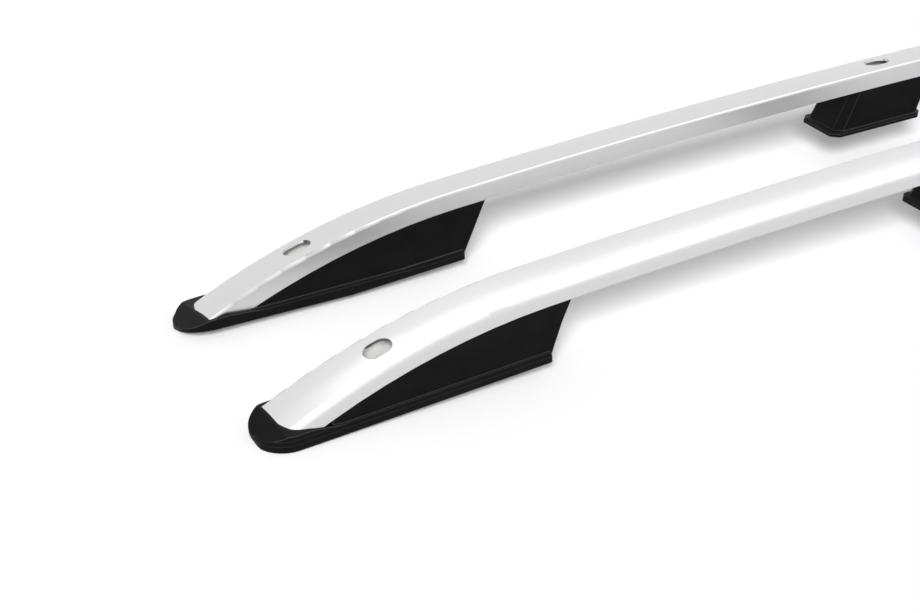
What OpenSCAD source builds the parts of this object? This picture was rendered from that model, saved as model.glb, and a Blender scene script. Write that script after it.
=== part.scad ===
// Roof side rail pair: two bent hollow aluminium rails, mirror images of each other, each on
// three moulded feet. X runs along the rails with the front at -X, Y across them, Z up.

/* [Pair] */
// Clear distance between the two rails' inner walls
rail_gap = 145; // [120:1:1200]
// How far the right rail lies behind the left one
stagger = 33; // [0:1:60]

// How far each rail turns in towards the other at the rear, in degrees, as a tapering roof asks
toe = 0.42; // [0:0.02:1]

/* [Rail section] */
// Height of the flat inner wall
rail_h = 16.6; // [16:0.1:18]
// Radius of the gently crowned top
crown_r = 154; // [140:1:200]
// Width of the crowned top, from the inner wall to the shoulder
crown_w = 39; // [37:0.5:41]
// Radius of the shoulder that rolls over to the outer edge
shoulder_r = 14.4; // [13.5:0.1:15.5]
// Radius of the tight edge between inner wall and top
corner_r = 2.5; // [1.5:0.1:3.5]
// Wall thickness of the extrusion
rail_wall = 2.2; // [1.8:0.1:2.6]

/* [Rail bend] */
// Height of the rail's top over the middle foot
rail_top = 90.9; // [86:0.1:96]
// Radius of the long, flat bend over the roof
roof_r = 9280; // [8000:10:11000]
// How far the rail slopes down where each end bend starts, in degrees
roof_a = 2.98; // [2.8:0.01:3.2]
// Radius of the bend that takes each end down
bend_r = 649.5; // [630:0.5:670]
// How far each end turns down, in degrees
bend_a = 23; // [22.4:0.1:23.6]

/* [Access slots] */
// Length of the slot over each foot
slot_l = 25.6; // [22:0.1:30]
// Width of the slot over each foot
slot_w = 18; // [16:0.5:20]
// Distance of the slot's middle from the inner wall
slot_y = 21.9; // [20:0.1:23]

/* [End feet] */
// Length of the base of an end foot
foot_l = 271; // [262:0.5:280]
// Upward slope of an end foot's base towards the middle, in degrees
foot_rise = 2.56; // [1.6:0.02:3.4]
// How far the nose reaches past the end of the bend
nose_ahead = 9.5; // [8:0.5:12]
// Distance from the nose tip to the bolt axis
bolt_x = 117.5; // [112:0.5:122]
// Distance that the base stands out past the inner wall
base_in = 3.3; // [2.6:0.1:4]
// Distance that the base stands out past the outer edge
base_out = 4.1; // [3:0.1:4.6]
// Height that the underside's inner front corner is lifted by, to follow the roof's crown
lift_h = 9.3; // [7:0.1:9.6]
// Distance over which that lift fades out along the foot
lift_run = 155; // [130:1:160]
// Distance over which it fades out across the foot
lift_across = 37; // [34:0.5:44]
// How much sooner the foot's back ends on the outer side
back_skew = 6; // [0:0.5:9]
// Corner radius of the nose on the inner side
nose_r_in = 24; // [20:0.5:26]
// Corner radius of the nose on the outer side
nose_r_out = 26; // [16:0.5:28]
// Height of the lip that the rail plunges into, at the outer edge
lip_h = 12.8; // [11.6:0.1:13.4]
// Sideways slope of the nose and its lip, in degrees
lip_roll = 5; // [4:0.1:7]
// Distance from the nose tip to the top of its ramp
ramp_l = 17.5; // [15:0.5:19]
// Height of the blunt front of the nose
nose_h = 5; // [4:0.1:6]
// Level of the curb's top along the inner side, above the nose's underside
curb_z = 17.6; // [16.8:0.1:18.2]
// Thickness of the nose under the rail's cut end
pocket_floor = 4.5; // [4:0.1:5.2]
// Rearward lean of the end foot's back, in degrees
back_lean = 28; // [22:1:32]

/* [Middle feet] */
// Height of a middle foot at the bolt
mid_h = 39.7; // [36:0.1:43]
// Reach of its base ahead of the bolt
mid_front = 68; // [64:0.5:75]
// Reach of its base behind the bolt
mid_back = 39.5; // [36:0.5:42]
// Distance that its base stands out past the inner wall
mid_in = 5.7; // [5:0.1:8]
// Size of its cut-off corners
mid_corner = 7.4; // [6:0.1:9]
// Rearward lean of its front, in degrees
mid_front_lean = 32; // [26:1:36]
// Rearward lean of its back, in degrees
mid_back_lean = 25; // [20:1:30]

/* [Mouldings] */
// Height of the upright edge round each base
edge_h = 5.6; // [5:0.1:6.2]
// Height of the sloping flank above that edge
flank_h = 3; // [2.4:0.1:3.6]
// Height of the upright edge of a middle foot's base
mid_edge = 3; // [2.4:0.1:3.6]
// How far the flank leans in
flank_in = 2; // [1.6:0.1:2.2]
// Wall thickness of the moulded feet
shell = 2.8; // [2.2:0.1:3.4]
// Thickness of the ribs inside the feet
rib = 2; // [1.6:0.1:2.6]
// Thickness of the top skin that the rail is screwed to
skin = 3.6; // [3:0.1:4.4]
// Clearance between a middle foot's top and the rail
seat_gap = 0.01; // [0:0.01:0.1]
// Clearance round the rail's end in its foot
mouth_gap = 0.3; // [0.2:0.05:0.5]

/* [Gaskets] */
// Thickness of the gasket let into the underside
pad_t = 1.6; // [1.2:0.1:2.2]
// Distance of the gasket from the edge of the base
pad_in = 2.4; // [2:0.1:3]
// Clearance round the gasket in its recess
pad_gap = 0.2; // [0.1:0.05:0.4]

/* [Bolt sleeves] */
// Bore of the steel sleeve, for an 8 mm roof bolt
sleeve_bore = 8.6; // [8.4:0.1:9]
// Outside diameter of the sleeve
sleeve_d = 12.6; // [11.6:0.1:13.4]
// Diameter of the sleeve's head
sleeve_head_d = 16; // [15:0.1:16.4]
// Thickness of the sleeve's head
sleeve_head_t = 2; // [1.6:0.1:2.6]
// Height of the sleeve above the roof
sleeve_h = 14; // [12.5:0.5:16]
// Diameter of the bolt's way down to the sleeve
way_d = 16.6; // [16.6:0.1:17.4]

/* [Foot screws] */
// Diameter of the tapping screws
screw_d = 4.2; // [3.9:0.1:4.8]
// Diameter of the screw heads
screw_head_d = 8; // [7.4:0.1:8.8]
// Thickness of the screw heads
screw_head_t = 2.6; // [2.2:0.1:3.2]
// Length of screw that stands up inside the rail
screw_grip = 3.2; // [2:0.1:4.5]
// Clearance round each screw
screw_gap = 0.15; // [0.1:0.05:0.3]
// Distance of the foremost screw of an end foot ahead of the bolt
screw_ahead = 27; // [26:0.5:30]
// Distance of the second screw of an end foot behind the bolt
screw_behind = 52; // [40:1:60]
// Distance of the last screw of an end foot from the end of its base
screw_last = 27; // [22:1:34]
// Distance of a middle foot's screws from the bolt
mid_screw = 29; // [26:0.5:31]

/* [Hidden] */
$fn = 96;
far = 200;

// Section of the rail: y runs out from the inner wall, n up from the floor
crown_a = asin(crown_w / crown_r);
crown_n = rail_h - crown_r;
shoulder_y = crown_w - shoulder_r * sin(crown_a);
shoulder_n = crown_n + (crown_r - shoulder_r) * cos(crown_a);
edge_run = shoulder_n < 0 ? sqrt(pow(shoulder_r, 2) - pow(shoulder_n, 2)) : shoulder_r;
rail_w = shoulder_y + edge_run;

// How far the lip's top stays under the rail's top at the rail's cut end
lip_under = 0.7;

// Path of the rail's top: a long arc over the roof, then a tighter one down at each end, as far as
// the bend goes or until it is down at the lip
end_a = roof_a + bend_a;
roof_z = rail_top - roof_r;
bend_x = (roof_r - bend_r) * sin(roof_a);
bend_z = roof_z + (roof_r - bend_r) * cos(roof_a);
seam_x = roof_r * sin(roof_a);
seam_z = roof_z + roof_r * cos(roof_a);
down_x = sqrt(pow(bend_r, 2) - pow(lip_h + lip_under - bend_z, 2));
tip_x = bend_x + min(bend_r * sin(end_a), down_x) + nose_ahead;

// Outlines and levels of the feet
base_w = base_in + rail_w + base_out;
flank_top = edge_h + flank_h;
lip_x = nose_ahead + 10.5;
fade_x = 38;
mid_z = rail_top - rail_h - mid_h;
mid_w = mid_in + rail_w;
body_out = rail_w - 3;
body_in = 0.6;
boss_d = way_d + 2 * shell;
tower_d = screw_head_d + 2 * rib;

// Distance past the seam within which the long arc still stands for the rail's floor
seam_ease = 20;

// Points along an arc, for the corners of an outline
function arc_points(c, r, a0, a1, n) =
    [for (i = [0 : n]) c + r * [cos(a0 + (a1 - a0) * i / n), sin(a0 + (a1 - a0) * i / n)]];

// Outline of an end foot in plan, its inner and outer sides each drawn in by a distance
function end_plan(in, out) = concat(
    arc_points([nose_r_in, nose_r_in - base_in], nose_r_in - in, 180, 270, 14),
    arc_points([foot_l - 4, 4 - base_in], 4 - in, 270, 360, 4),
    arc_points([foot_l - back_skew - 4, rail_w + base_out - 4], 4 - out, 0, 90, 4),
    arc_points([nose_r_out, rail_w + base_out - nose_r_out], nose_r_out - out, 90, 180, 14)
);

// Outline of a middle foot in plan: a block with its corners cut off at 45 degrees
function cut_plan(x0, x1, y0, y1, c) = [
    [x0, y0 + c], [x0 + c, y0], [x1 - c, y0], [x1, y0 + c],
    [x1, y1 - c], [x1 - c, y1], [x0 + c, y1], [x0, y1 - c]
];
function mid_plan(in) =
    cut_plan(in - mid_front, mid_back - in, in - mid_in, rail_w - in, mid_corner - 0.6 * in);

// Solid outline of the rail, drawn in by a wall: crowned top, tight inner corner, round shoulder
module rail_outline(in, corner) {
    top_r = crown_r - in;
    cy = in + corner;
    cn = crown_n + sqrt(pow(top_r - corner, 2) - pow(cy, 2));
    ty = top_r * cy / (top_r - corner);
    jy = top_r * sin(crown_a);
    low = max(in, 0);
    difference() {
        intersection() {
            translate([0, crown_n]) circle(r = top_r, $fn = 720);
            translate([in, low]) square([jy - in, rail_h]);
        }
        translate([in - 1, cn]) square([ty - in + 1, rail_h]);
    }
    translate([cy, cn]) circle(r = corner);
    difference() {
        translate([shoulder_y, shoulder_n]) circle(r = shoulder_r - in);
        translate([0, low - 2 * shoulder_r]) square([3 * rail_w, 2 * shoulder_r]);
    }
}

// Turns a section through one bend of the path
module bend(r, from, to) {
    rotate([90, 0, 0])
        rotate_extrude(angle = to - from, start = from, $fn = 720)
            translate([r - rail_h, 0]) rotate(-90) children();
}

// Runs a section from the rail's middle to its front tip, drawn where the two bends meet
module along_front() {
    translate([-seam_x, 0, seam_z]) rotate([0, -roof_a, 0]) {
        translate([0, 0, -roof_r]) bend(roof_r, 89.9 - roof_a, 90) children();
        translate([0, 0, -bend_r]) bend(bend_r, 90, 90 + bend_a) children();
    }
}

// Runs a section along the long arc over the middle foot
module along_middle() {
    translate([0, 0, roof_z]) bend(roof_r, 89.2, 90.8) children();
}

// Frame of the front foot: origin under the nose tip, z square to its sloping base
module end_frame() {
    translate([-tip_x, 0, 0]) rotate([0, -foot_rise, 0]) children();
}

// Frame of the middle foot: origin on its base under the bolt
module mid_frame() {
    translate([0, 0, mid_z]) children();
}

// Rounded slot, lengthwise, centred on the bolt
module slot_shape() {
    run = slot_l - slot_w;
    translate([0, slot_y]) {
        translate([-run / 2, 0]) circle(d = slot_w);
        translate([run / 2, 0]) circle(d = slot_w);
        square([run, slot_w], center = true);
    }
}

// Puts something on the rail's floor, square to it, over a place on the end foot's base
module on_floor(x) {
    reach = tip_x - x * cos(foot_rise);
    on_bend = reach > seam_x + seam_ease;
    r = on_bend ? bend_r : roof_r;
    mid_x = on_bend ? bend_x : 0;
    translate([-mid_x, slot_y, on_bend ? bend_z : roof_z]) rotate([0, -asin((reach - mid_x) / r), 0])
        translate([0, 0, r - rail_h]) children();
}

// Puts something at each screw of the front foot
module at_end_screws() {
    for (x = [bolt_x - screw_ahead, bolt_x + screw_behind, foot_l - screw_last]) {
        on_floor(x) children();
    }
}

// Puts something at each screw of the middle foot
module at_mid_screws() {
    for (s = [-1, 1]) {
        translate([0, slot_y, roof_z]) rotate([0, s * asin(mid_screw / roof_r), 0])
            translate([0, 0, roof_r - rail_h]) children();
    }
}

// Block that takes away what stands above the rail's floor, or above a level under it
module over_floor(below) {
    translate([-1, -below]) square([rail_w + 2, far]);
}

// Everything under an end foot's underside, which is flat but for its lifted inner front corner,
// moved up by a distance
module underside(up) {
    fold_a = atan(lift_across / lift_run);
    tilt_a = atan(lift_h / (lift_across * cos(fold_a)));
    translate([-far, -far, -far]) cube([4 * far, 2 * far, far + up]);
    translate([0, lift_across - base_in, up]) rotate([0, 0, -fold_a]) rotate([-tilt_a, 0, 0])
        translate([-far, -2 * far, -far]) cube([3 * far, 2 * far, far]);
}

// Everything past the cut end of the rail: ahead of the nose's pocket and under its floor
module past_end(gap) {
    end_frame() {
        translate([-far, -far, -far]) cube([far + lip_x - gap, 2 * far, 2 * far]);
        intersection() {
            translate([-far, -far, -far]) cube([far + bolt_x / 2, 2 * far, 2 * far]);
            underside(pocket_floor);
        }
    }
}

// Section of the hollow extrusion
module rail_section() {
    difference() {
        rail_outline(0, corner_r);
        rail_outline(rail_wall, 0.8);
    }
}

// Front half of the rail, with its slots and screw holes
module half_rail() {
    difference() {
        along_front() rail_section();
        translate([0, -far, -far]) cube([far, 2 * far, 2 * far]);
        past_end(0);
        end_frame() translate([bolt_x, 0, 0]) linear_extrude(height = far) slot_shape();
        mid_frame() linear_extrude(height = far) slot_shape();
        at_end_screws() rail_screw_hole();
        at_mid_screws() rail_screw_hole();
    }
}

// Screw hole through the rail's floor
module rail_screw_hole() {
    translate([0, 0, -1]) cylinder(d = screw_d + 2 * screw_gap, h = rail_wall + 2);
}

// Bent rail, hollow, with an access slot over each foot and its ends cut level with the roof
module rail() {
    color("silver") {
        half_rail();
        mirror([1, 0, 0]) half_rail();
    }
}

// Side view of what lies behind the nose's blunt front and ramp
module ramp_side() {
    polygon([
        [1.6, nose_h + 0.8], [0.4, nose_h - 0.4], [-1, nose_h - 3], [-1, -20],
        [foot_l + 9, -20], [foot_l + 9, far],
        [ramp_l + (far - lip_h) * (ramp_l - 1.6) / (lip_h - nose_h - 0.8), far]
    ]);
}

// Side view of the lip: level behind the ramp, then falling away to the flank
module lip_side() {
    polygon([
        [-1, -20], [fade_x + 60, -20], [fade_x + 50, nose_h + 0.6], [fade_x, lip_h], [-1, lip_h]
    ]);
}

// Runs a side view across the foot, rolled up towards its inner side
module rolled() {
    translate([0, rail_w, 0]) rotate([-lip_roll, 0, 0]) translate([0, far, 0])
        rotate([90, 0, 0]) linear_extrude(height = 2 * far) children();
}

// End view of the wedge: its faces lean in towards the rail's edges
module wedge_end(in) {
    polygon([
        [in - 0.4, 0], [rail_w + 0.4 - in, 0], [rail_w + 0.4 - in, edge_h], [body_out - in, 30],
        [body_out - in, 70], [body_in + in, 70]
    ]);
}

// Wedge under the rail as a solid in the front foot's frame, with its leaning, skewed back
module wedge(in) {
    skew_a = atan(back_skew / rail_w);
    difference() {
        translate([bolt_x / 2 + in, 0, 0]) rotate([90, 0, 90]) linear_extrude(height = foot_l) wedge_end(in);
        translate([foot_l - flank_in - 1 - in / cos(back_lean), 0, 0]) rotate([0, 0, skew_a])
            rotate([0, back_lean, 0]) translate([0, -far, -far]) cube([2 * far, 2 * far, 2 * far]);
    }
}

// Lower part of an end foot: upright edge, sloping flank and the lip round the rail's end
module end_base() {
    intersection() {
        union() {
            linear_extrude(height = edge_h) polygon(end_plan(0, 0));
            hull() {
                translate([0, 0, edge_h - 0.01]) linear_extrude(height = 0.01) polygon(end_plan(0, 0));
                translate([0, 0, flank_top])
                    linear_extrude(height = 0.01) polygon(end_plan(flank_in, flank_in));
            }
            intersection() {
                linear_extrude(height = 3 * lip_h) polygon(end_plan(0, flank_in));
                rolled() lip_side();
            }
        }
        rolled() ramp_side();
    }
}

// Curb along the inner side, its top level with the roof line and bevelled
module curb() {
    intersection() {
        translate([lip_x + 12 - tip_x, 0, 0]) rotate([90, 0, 90]) linear_extrude(height = foot_l)
            polygon([
                [-base_in - 1, 0], [-base_in - 1, curb_z - 2.8], [1.6 - base_in, curb_z], [4, curb_z], [4, 0]
            ]);
        end_frame() linear_extrude(height = far) polygon(end_plan(0, 0));
    }
}

// Ribs across an end foot's hollow, and one along it
module end_ribs() {
    for (x = [bolt_x - 38, bolt_x + 26, foot_l - 75.5, foot_l - 49.5]) {
        translate([x, -far, 0]) cube([rib, 2 * far, far]);
    }
    translate([0, slot_y - rib / 2, 0]) cube([2 * far, rib, far]);
}

// Front end foot: moulded nose and hollow wedge, with the boss for the bolt sleeve
module front_foot() {
    color([0.1, 0.1, 0.1])
    difference() {
        union() {
            end_frame() end_base();
            curb();
            difference() {
                end_frame() wedge(0);
                along_front() over_floor(0);
            }
        }
        // pocket for the rail's end
        difference() {
            along_front() rail_outline(-mouth_gap, corner_r + mouth_gap);
            past_end(mouth_gap);
        }
        // hollow underside, its ribs, boss and screw towers left standing
        difference() {
            end_frame() wedge(shell);
            end_frame() end_ribs();
            end_frame() translate([bolt_x, slot_y, 0]) cylinder(d = boss_d, h = far);
            at_end_screws() translate([0, 0, -far]) cylinder(d = tower_d, h = far);
            along_front() over_floor(skin);
        }
        end_frame() {
            underside(0);
            intersection() {
                translate([0, 0, -1]) linear_extrude(height = far) polygon(end_plan(pad_in, pad_in));
                underside(pad_t);
            }
            sleeve_seat(bolt_x);
        }
        at_end_screws() screw_hole();
    }
}

// Bolt's way down from the rail, its shoulder and the hole for the sleeve
module sleeve_seat(x) {
    translate([x, slot_y, sleeve_h - sleeve_head_t]) cylinder(d = way_d, h = far);
    translate([x, slot_y, -1]) cylinder(d = sleeve_d + 0.2, h = sleeve_h);
}

// Hole for a foot screw, with the well that its head goes up
module screw_hole() {
    translate([0, 0, -skin - 1]) cylinder(d = screw_d + 2 * screw_gap, h = skin + 2);
    translate([0, 0, -skin - far]) cylinder(d = screw_head_d + 4 * screw_gap, h = far);
}

// Leaning block of a middle foot, between its base and the rail
module mid_block(in) {
    top = mid_h + 6;
    x0 = flank_in + 0.6 + in - mid_front;
    x1 = mid_back - flank_in - 0.6 - in;
    f = tan(mid_front_lean);
    b = tan(mid_back_lean);
    y0 = flank_in + 0.6 + in - mid_in;
    y1 = rail_w - flank_in - in;
    hull() {
        linear_extrude(height = 0.01) polygon(cut_plan(x0, x1, y0, y1, mid_corner));
        translate([0, 0, top]) linear_extrude(height = 0.01)
            polygon(cut_plan(x0 + f * top, x1 + b * top, body_in + in, body_out - in, mid_corner - 1));
    }
}

// Middle foot: leaning block on a stepped base, hollow with ribs, cut to the rail's floor
module middle_foot() {
    color([0.1, 0.1, 0.1])
    difference() {
        union() {
            mid_frame() {
                linear_extrude(height = mid_edge) polygon(mid_plan(0));
                hull() {
                    translate([0, 0, mid_edge - 0.01]) linear_extrude(height = 0.01) polygon(mid_plan(0));
                    translate([0, 0, mid_edge + flank_h / 2])
                        linear_extrude(height = 0.01) polygon(mid_plan(flank_in));
                }
                mid_block(0);
            }
        }
        along_middle() over_floor(seat_gap);
        difference() {
            mid_frame() mid_block(shell);
            mid_frame() {
                translate([0, slot_y, 0]) cylinder(d = boss_d, h = far);
                translate([-far, slot_y - rib / 2, 0]) cube([2 * far, rib, far]);
                translate([-mid_screw - 12, -far, 0]) cube([rib, 2 * far, far]);
            }
            at_mid_screws() translate([0, 0, -far]) cylinder(d = tower_d, h = far);
            along_middle() over_floor(skin);
        }
        mid_frame() {
            translate([0, 0, -1]) linear_extrude(height = pad_t + 1) polygon(mid_plan(pad_in));
            sleeve_seat(0);
        }
        at_mid_screws() screw_hole();
    }
}

// Rubber pads let into the underside of a foot, pierced for the sleeve
module front_gasket() {
    color([0.15, 0.15, 0.16])
    end_frame() difference() {
        intersection() {
            linear_extrude(height = 2 * lift_h) polygon(end_plan(pad_in + pad_gap, pad_in + pad_gap));
            underside(pad_t);
        }
        underside(0);
        translate([bolt_x, slot_y, -1]) cylinder(d = sleeve_d + 0.6, h = far);
    }
}

module middle_gasket() {
    color([0.15, 0.15, 0.16])
    mid_frame() difference() {
        linear_extrude(height = pad_t) polygon(mid_plan(pad_in + pad_gap));
        translate([0, slot_y, -1]) cylinder(d = sleeve_d + 0.6, h = pad_t + 2);
    }
}

// Steel sleeve that carries the bolt's clamping load down to the roof
module sleeve() {
    color([0.6, 0.6, 0.62])
    translate([0, slot_y, 0])
    difference() {
        union() {
            cylinder(d = sleeve_d, h = sleeve_h);
            translate([0, 0, sleeve_h - sleeve_head_t]) cylinder(d = sleeve_head_d, h = sleeve_head_t);
        }
        translate([0, 0, -1]) cylinder(d = sleeve_bore, h = sleeve_h + 2);
    }
}

module front_sleeve() {
    end_frame() translate([bolt_x, 0, 0]) sleeve();
}

module middle_sleeve() {
    mid_frame() sleeve();
}

// Tapping screw from below, its head against the foot's top skin and its tip inside the rail
module foot_screw() {
    color([0.55, 0.55, 0.57])
    difference() {
        union() {
            translate([0, 0, -skin - screw_head_t]) cylinder(d = screw_head_d, h = screw_head_t);
            translate([0, 0, -skin - 0.5]) cylinder(d = screw_d, h = skin + 0.5 + rail_wall + screw_grip - 1.5);
            translate([0, 0, rail_wall + screw_grip - 1.5])
                cylinder(d1 = screw_d, d2 = screw_d / 3, h = 1.5);
        }
        translate([0, 0, -skin - screw_head_t - 1]) cylinder(d = screw_d * 0.8, h = 2.4, $fn = 6);
    }
}

module front_screws() {
    at_end_screws() foot_screw();
}

module middle_screws() {
    at_mid_screws() foot_screw();
}

// Right rail: its inner wall faces -Y and it lies further back
module right_side() {
    translate([stagger / 2, rail_gap / 2, 0]) rotate([0, 0, -toe]) children();
}

// Left rail: the mirror image across the pair's middle
module left_side() {
    translate([-stagger / 2, -rail_gap / 2, 0]) rotate([0, 0, toe]) mirror([0, 1, 0]) children();
}

// Rear end: the mirror image of the front end
module rear_end() {
    mirror([1, 0, 0]) children();
}

left_side() rail();  // left_rail
right_side() rail();  // right_rail
left_side() front_foot();  // left_front_foot
left_side() middle_foot();  // left_middle_foot
left_side() rear_end() front_foot();  // left_rear_foot
right_side() front_foot();  // right_front_foot
right_side() middle_foot();  // right_middle_foot
right_side() rear_end() front_foot();  // right_rear_foot
left_side() front_gasket();  // left_front_gasket
left_side() middle_gasket();  // left_middle_gasket
left_side() rear_end() front_gasket();  // left_rear_gasket
right_side() front_gasket();  // right_front_gasket
right_side() middle_gasket();  // right_middle_gasket
right_side() rear_end() front_gasket();  // right_rear_gasket
left_side() front_sleeve();  // left_front_sleeve
left_side() middle_sleeve();  // left_middle_sleeve
left_side() rear_end() front_sleeve();  // left_rear_sleeve
right_side() front_sleeve();  // right_front_sleeve
right_side() middle_sleeve();  // right_middle_sleeve
right_side() rear_end() front_sleeve();  // right_rear_sleeve
left_side() front_screws();  // left_front_screws
left_side() middle_screws();  // left_middle_screws
left_side() rear_end() front_screws();  // left_rear_screws
right_side() front_screws();  // right_front_screws
right_side() middle_screws();  // right_middle_screws
right_side() rear_end() front_screws();  // right_rear_screws
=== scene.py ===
import math

import bpy
from mathutils import Matrix, Vector
from mathutils.bvhtree import BVHTree

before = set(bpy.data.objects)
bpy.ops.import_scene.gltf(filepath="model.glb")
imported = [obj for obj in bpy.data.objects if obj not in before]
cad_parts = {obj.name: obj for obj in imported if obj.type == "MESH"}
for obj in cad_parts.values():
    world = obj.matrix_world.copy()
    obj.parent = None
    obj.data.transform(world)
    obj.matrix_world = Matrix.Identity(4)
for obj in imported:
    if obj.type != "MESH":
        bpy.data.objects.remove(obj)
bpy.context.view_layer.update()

# Rails. Two hollow 6063 aluminium extrusions, stretch-bent to the roof line and turned down at
# both ends, then etched and anodised to a satin silver. A slot milled through the top over each
# foot lets the roof bolt and its socket down to the sleeve.
RAILS = ("left_rail", "right_rail")
RAIL_SILVER = "#DBDBDB"
RAIL_SHADE = "#D3D3D3"
# Painted light: the inside's tones are paler than the skin's, standing for the light that falls in
# through the slots.
PAINTED_LIT_RAW_SILVER = "#F6F6F5"
PAINTED_LIT_RAW_LINE_TONE = "#E6E6E5"
DIE_LINE_MM = 0.9     # real die lines lie about 0.2 mm apart; coarsened so that they show
ETCH_GRAIN_MM = 0.45  # etched grain is about 0.1 mm; coarsened so that it shows
CLOUDS_PER_M = 9.0    # the anodising tank's duller patches, each about 110 mm wide
HOLLOW_ACROSS_M = 0.06  # more than the hollow's width, so that a line across it meets the far wall


def linear(colour):
    """An sRGB hex colour as linear RGBA."""
    parts = [int(colour[i:i + 2], 16) / 255 for i in (1, 3, 5)]
    return tuple(
        c / 12.92 if c <= 0.04045 else ((c + 0.055) / 1.055) ** 2.4 for c in parts) + (1.0,)


def node(tree, kind, inputs=None, **settings):
    """Adds one shader node, with its own settings and its inputs' values or links."""
    made = tree.nodes.new("ShaderNode" + kind)
    for name, value in settings.items():
        setattr(made, name, value)
    for name, value in (inputs or {}).items():
        if isinstance(value, bpy.types.NodeSocket):
            tree.links.new(value, made.inputs[name])
        else:
            made.inputs[name].default_value = value
    return made


def finish_material(name):
    """A material, its node tree with nothing but an output in it, and that output."""
    material = bpy.data.materials.new(name)
    material.use_nodes = True
    material.node_tree.nodes.clear()
    return material, material.node_tree, node(material.node_tree, "OutputMaterial")


def satin_anodised_aluminium():
    """Soft metallic silver: an etched skin blurs what it mirrors; faint die lines run along it."""
    material, tree, out = finish_material("satin_anodised_aluminium")
    place = node(tree, "TexCoord")
    along = node(tree, "Mapping", {
        "Vector": place.outputs["Object"],
        "Scale": (3.0, 1000 / DIE_LINE_MM, 1000 / DIE_LINE_MM)})
    lines = node(tree, "TexNoise", {"Vector": along.outputs["Vector"], "Scale": 1.0, "Detail": 2.0})
    grain = node(tree, "TexNoise", {
        "Vector": place.outputs["Object"], "Scale": 1000 / ETCH_GRAIN_MM, "Detail": 3.0})
    cloud = node(tree, "TexNoise", {
        "Vector": place.outputs["Object"], "Scale": CLOUDS_PER_M, "Detail": 2.0})
    tone = node(tree, "Mix", {
        "Factor": lines.outputs["Fac"],
        6: linear(RAIL_SILVER), 7: linear(RAIL_SHADE)}, data_type="RGBA")
    dull = node(tree, "MapRange", {
        "Value": cloud.outputs["Fac"],
        "From Min": 0.3, "From Max": 0.7, "To Min": 0.33, "To Max": 0.37})
    bump = node(tree, "Bump", {
        "Strength": 0.06, "Distance": 0.0002, "Height": grain.outputs["Fac"]})
    skin = node(tree, "BsdfPrincipled", {
        "Base Color": tone.outputs[2], "Metallic": 1.0,
        "Roughness": dull.outputs["Result"], "Normal": bump.outputs["Normal"]})
    tree.links.new(skin.outputs["BSDF"], out.inputs["Surface"])
    return material


def dress(names, material):
    """Gives each named CAD node the material."""
    for name in names:
        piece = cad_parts[name]
        piece.data.materials.clear()
        piece.data.materials.append(material)


def mill_finish_painted_lit_aluminium():
    """Raw extruded metal, flatter than the anodised skin, and painted paler to stand for the light
    that falls in through the slots.
    """
    material, tree, out = finish_material("mill_finish_painted_lit_aluminium")
    place = node(tree, "TexCoord")
    along = node(tree, "Mapping", {
        "Vector": place.outputs["Object"],
        "Scale": (6.0, 1000 / DIE_LINE_MM, 1000 / DIE_LINE_MM)})
    lines = node(tree, "TexNoise", {"Vector": along.outputs["Vector"], "Scale": 1.0, "Detail": 3.0})
    tone = node(tree, "Mix", {
        "Factor": lines.outputs["Fac"],
        6: linear(PAINTED_LIT_RAW_SILVER), 7: linear(PAINTED_LIT_RAW_LINE_TONE)}, data_type="RGBA")
    bump = node(tree, "Bump", {"Strength": 0.3, "Distance": 0.0003, "Height": lines.outputs["Fac"]})
    skin = node(tree, "BsdfPrincipled", {
        "Base Color": tone.outputs[2], "Metallic": 0.25, "Roughness": 0.55,
        "Normal": bump.outputs["Normal"]})
    tree.links.new(skin.outputs["BSDF"], out.inputs["Surface"])
    return material


def line_hollow(names, material, across):
    """A second material slot, for the faces that look at the same piece's far wall, which take the
    paler inside finish with its painted light.
    """
    for name in names:
        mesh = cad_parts[name].data
        mesh.materials.append(material)
        faces = BVHTree.FromPolygons(
            [v.co for v in mesh.vertices], [tuple(f.vertices) for f in mesh.polygons])
        for face in mesh.polygons:
            start = face.center + face.normal * 0.0001
            if faces.ray_cast(start, face.normal, across)[0] is not None:
                face.material_index = 1


dress(RAILS, satin_anodised_aluminium())
line_hollow(RAILS, mill_finish_painted_lit_aluminium(), HOLLOW_ACROSS_M)

# Feet. Injection-moulded black ABS, three under each rail: two long noses that the rail's cut ends
# plunge into and a leaning block at the middle. Each is screwed to the rail's floor from below.
ENDS = ("front", "middle", "rear")
SIDES = ("left", "right")
FOOT_BLACK = "#080809"
FOOT_BLOOM = "#121213"
PAINTED_HIGHLIGHT_GREY = "#4A4A4C"  # painted highlight: the edges are made paler, standing for the light that they catch
EDGE_RADIUS_MM = 1.4
MOULD_GRAIN_MM = 0.6  # spark-eroded mould grain is about 0.15 mm; coarsened so that it shows
PATCHES_PER_M = 60.0  # the bloom left by the mould, in patches about 17 mm wide


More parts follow.
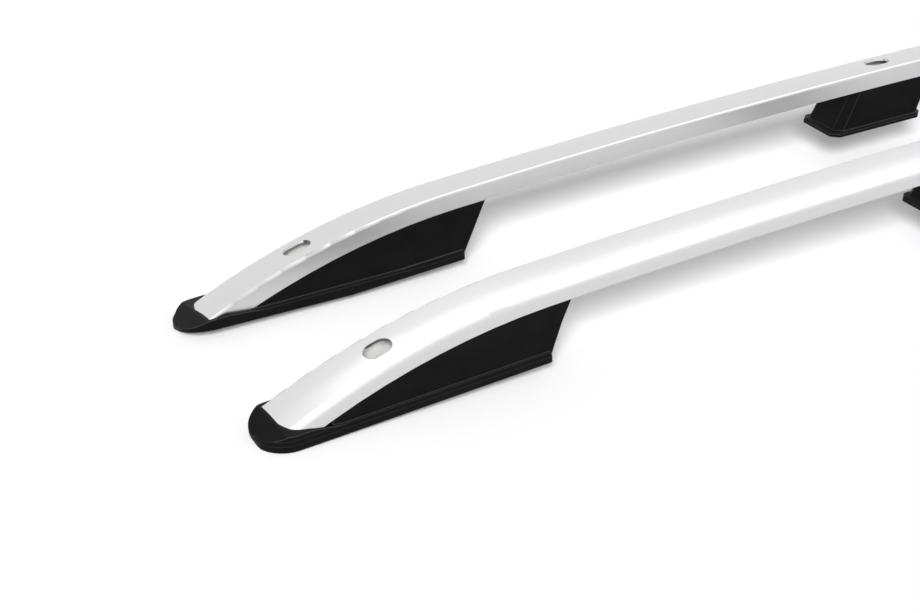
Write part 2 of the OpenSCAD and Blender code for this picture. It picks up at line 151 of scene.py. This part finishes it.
def moulded_black_abs():
    """Near-black, its finely pebbled skin breaking up each highlight, with a painted highlight that
    greys its edges.
    """
    material, tree, out = finish_material("moulded_black_abs")
    place = node(tree, "TexCoord")
    grain = node(tree, "TexNoise", {
        "Vector": place.outputs["Object"], "Scale": 1000 / MOULD_GRAIN_MM, "Detail": 2.0})
    soft_edge = node(tree, "Bevel", {"Radius": EDGE_RADIUS_MM / 1000}, samples=6)
    flat = node(tree, "NewGeometry")
    bent = node(tree, "VectorMath", {
        0: soft_edge.outputs["Normal"], 1: flat.outputs["Normal"]}, operation="DOT_PRODUCT")
    patches = node(tree, "TexNoise", {
        "Vector": place.outputs["Object"], "Scale": PATCHES_PER_M, "Detail": 2.0})
    # Painted highlight: the edges turn pale grey, standing for the light that their rounding
    # catches.
    painted_edge_highlight = node(tree, "MapRange", {
        "Value": bent.outputs["Value"],
        "From Min": 0.995, "From Max": 0.8, "To Min": 0.0, "To Max": 1.0})
    tone = node(tree, "Mix", {
        "Factor": patches.outputs["Fac"],
        6: linear(FOOT_BLACK), 7: linear(FOOT_BLOOM)}, data_type="RGBA")
    tone = node(tree, "Mix", {
        "Factor": painted_edge_highlight.outputs["Result"],
        6: tone.outputs[2], 7: linear(PAINTED_HIGHLIGHT_GREY)}, data_type="RGBA")
    bump = node(tree, "Bump", {
        "Strength": 0.25, "Distance": 0.0003, "Height": grain.outputs["Fac"],
        "Normal": soft_edge.outputs["Normal"]})
    skin = node(tree, "BsdfPrincipled", {
        "Base Color": tone.outputs[2], "Roughness": 0.42, "Specular IOR Level": 0.06,
        "Normal": bump.outputs["Normal"]})
    tree.links.new(skin.outputs["BSDF"], out.inputs["Surface"])
    return material


dress([f"{side}_{end}_foot" for side in SIDES for end in ENDS], moulded_black_abs())

# Gaskets. A pad of black EPDM rubber let into the underside of each foot, which seals and
# cushions it on the roof's paint.
RUBBER_BLACK = "#1D1D1E"
RUBBER_BLOOM = "#2C2C2D"
RUBBER_PIT_MM = 0.8  # pits in moulded rubber are about 0.2 mm; coarsened so that they show
BLOOMS_PER_M = 45.0  # the powdery bloom, in patches about 22 mm wide


def moulded_rubber():
    """Matt charcoal with a powdery bloom, finely pitted, with next to no highlight."""
    material, tree, out = finish_material("moulded_rubber")
    place = node(tree, "TexCoord")
    pits = node(tree, "TexNoise", {
        "Vector": place.outputs["Object"], "Scale": 1000 / RUBBER_PIT_MM, "Detail": 2.0})
    bloom = node(tree, "TexNoise", {
        "Vector": place.outputs["Object"], "Scale": BLOOMS_PER_M, "Detail": 3.0})
    tone = node(tree, "Mix", {
        "Factor": bloom.outputs["Fac"],
        6: linear(RUBBER_BLACK), 7: linear(RUBBER_BLOOM)}, data_type="RGBA")
    dull = node(tree, "MapRange", {"Value": bloom.outputs["Fac"], "To Min": 0.7, "To Max": 0.88})
    bump = node(tree, "Bump", {
        "Strength": 0.35, "Distance": 0.0003, "Height": pits.outputs["Fac"]})
    skin = node(tree, "BsdfPrincipled", {
        "Base Color": tone.outputs[2], "Roughness": dull.outputs["Result"],
        "Specular IOR Level": 0.2, "Normal": bump.outputs["Normal"]})
    tree.links.new(skin.outputs["BSDF"], out.inputs["Surface"])
    return material


dress([f"{side}_{end}_gasket" for side in SIDES for end in ENDS], moulded_rubber())

# Sleeves and screws. Turned mild-steel sleeves, one pressed into each foot, which carry the roof
# bolts' load, and cold-headed tapping screws from below. Both are bright zinc-plated.
ZINC_CLEAR = "#D2D5D9"
ZINC_MILKY = "#B9BCC0"
PLATING_MM = 1.2  # how wide the plating's cloudy patches are


def zinc_plated_steel():
    """Bright, faintly blue metal whose plating clouds from clear to milky in small patches."""
    material, tree, out = finish_material("zinc_plated_steel")
    place = node(tree, "TexCoord")
    cloud = node(tree, "TexNoise", {
        "Vector": place.outputs["Object"], "Scale": 1000 / PLATING_MM, "Detail": 3.0})
    tone = node(tree, "Mix", {
        "Factor": cloud.outputs["Fac"],
        6: linear(ZINC_CLEAR), 7: linear(ZINC_MILKY)}, data_type="RGBA")
    dull = node(tree, "MapRange", {
        "Value": cloud.outputs["Fac"],
        "From Min": 0.3, "From Max": 0.7, "To Min": 0.22, "To Max": 0.4})
    bump = node(tree, "Bump", {
        "Strength": 0.1, "Distance": 0.0002, "Height": cloud.outputs["Fac"]})
    skin = node(tree, "BsdfPrincipled", {
        "Base Color": tone.outputs[2], "Metallic": 1.0, "Roughness": dull.outputs["Result"],
        "Normal": bump.outputs["Normal"]})
    tree.links.new(skin.outputs["BSDF"], out.inputs["Surface"])
    return material


dress([f"{side}_{end}_{kind}" for side in SIDES for end in ENDS for kind in ("sleeve", "screws")],
      zinc_plated_steel())

# Studio floor. A white sheet under the pair, which keeps its soft shadows and runs out past
# everything that the camera sees.
FLOOR_M = 16
SHEET_WHITE = "#F7F7F7"
FLOOR_LIFT = 0.15  # what brings the lit sheet up to the backdrop's white
bpy.ops.mesh.primitive_plane_add(size=FLOOR_M)
floor = bpy.context.object
floor.name = "studio_floor"


def white_sheet():
    """Plain white: what the camera and the metal see of it is lifted to the backdrop's white."""
    material, tree, out = finish_material("white_sheet")
    path = node(tree, "LightPath")
    seen = node(tree, "Math", {
        0: path.outputs["Is Camera Ray"], 1: path.outputs["Is Glossy Ray"]}, operation="MAXIMUM")
    seen = node(tree, "Math", {
        0: seen.outputs[0], 1: path.outputs["Is Transmission Ray"]}, operation="MAXIMUM")
    lift = node(tree, "Math", {0: seen.outputs[0], 1: FLOOR_LIFT}, operation="MULTIPLY")
    sheet = node(tree, "BsdfDiffuse", {"Color": linear(SHEET_WHITE)})
    glow = node(tree, "Emission", {"Color": (1, 1, 1, 1), "Strength": lift.outputs[0]})
    both = node(tree, "AddShader", {0: sheet.outputs[0], 1: glow.outputs[0]})
    tree.links.new(both.outputs[0], out.inputs["Surface"])
    return material


floor.data.materials.append(white_sheet())

# Studio light. An even white room, which the metal sees as white, and a wide window behind the
# camera whose light throws the shadows. Three softboxes overhead show only as highlights: two
# long ones side by side along the rails' edges, and a short one across the noses.
ROOM_LIGHT, ROOM_SEEN = 0.27, 1.0
WINDOW_LIGHT = 3.6
WINDOW_SOFTNESS = math.radians(20)
WINDOW_FALL = Vector((0.46, 0.68, -0.57))
world = bpy.data.worlds.new("studio")
bpy.context.scene.world = world
world.use_nodes = True
sky = world.node_tree
sky.nodes.clear()
path = node(sky, "LightPath")
seen = node(sky, "Math", {
    0: path.outputs["Is Camera Ray"], 1: path.outputs["Is Glossy Ray"]}, operation="MAXIMUM")
seen = node(sky, "Math", {
    0: seen.outputs[0], 1: path.outputs["Is Transmission Ray"]}, operation="MAXIMUM")
level = node(sky, "MapRange", {
    "Value": seen.outputs[0], "To Min": ROOM_LIGHT, "To Max": ROOM_SEEN})
room = node(sky, "Background", {"Color": (1, 1, 1, 1), "Strength": level.outputs["Result"]})
node(sky, "OutputWorld", {"Surface": room.outputs[0]})


def softbox(name, size, place, brightness):
    """A rectangular softbox that faces straight down, of a brightness where 1 is white."""
    lamp = bpy.data.lights.new(name, "AREA")
    lamp.shape = "RECTANGLE"
    lamp.size, lamp.size_y = size
    lamp.energy = brightness * math.pi * size[0] * size[1]
    box = bpy.data.objects.new(name, lamp)
    bpy.context.scene.collection.objects.link(box)
    box.location = place
    box.rotation_euler = Vector((0.0, 0.0, -place[2])).to_track_quat("-Z", "Y").to_euler()
    box.visible_diffuse = False


for name, size, place, brightness in (
        ("long_softbox", (3.0, 0.8), (0.62, 0.66, 2.0), 1.28),
        ("soft_edge_softbox", (3.0, 0.6), (0.62, -0.04, 2.0), 1.22),
        ("short_softbox", (0.55, 1.5), (-1.1, -0.4, 2.0), 1.42)):
    softbox(name, size, place, brightness)

front = bpy.data.lights.new("front_window", "SUN")
front.energy = WINDOW_LIGHT
front.angle = WINDOW_SOFTNESS
window = bpy.data.objects.new("front_window", front)
bpy.context.scene.collection.objects.link(window)
window.rotation_euler = WINDOW_FALL.to_track_quat("-Z", "Y").to_euler()
window.visible_glossy = False

# Camera. Where the photograph was taken from, worked out from the corners of the rails and feet.
# The focal length is in pixels of a frame 920 wide.
FOCAL_PX, FRAME_PX, SENSOR_MM = 2843.737, 920, 36
TURN, TILT, ROLL = math.radians(31.012), math.radians(27.125), math.radians(0.495)
LOOKED_AT = Vector((-0.496473, 0.016761, 0.0))
AWAY = 2.463766
forward = Vector((
    math.sin(TURN) * math.cos(TILT), math.cos(TURN) * math.cos(TILT), -math.sin(TILT)))
right = Vector((math.cos(TURN), -math.sin(TURN), 0.0))
up = right.cross(forward)
rolled_right = math.cos(ROLL) * right - math.sin(ROLL) * up
rolled_up = math.sin(ROLL) * right + math.cos(ROLL) * up
lens = bpy.data.cameras.new("camera")
lens.lens = SENSOR_MM * FOCAL_PX / FRAME_PX
lens.sensor_width = SENSOR_MM
camera = bpy.data.objects.new("camera", lens)
bpy.context.scene.collection.objects.link(camera)
facing = Matrix((rolled_right, rolled_up, -forward)).transposed().to_4x4()
camera.matrix_world = Matrix.Translation(LOOKED_AT - AWAY * forward) @ facing
bpy.context.scene.camera = camera

bpy.context.scene.view_settings.view_transform = "Standard"
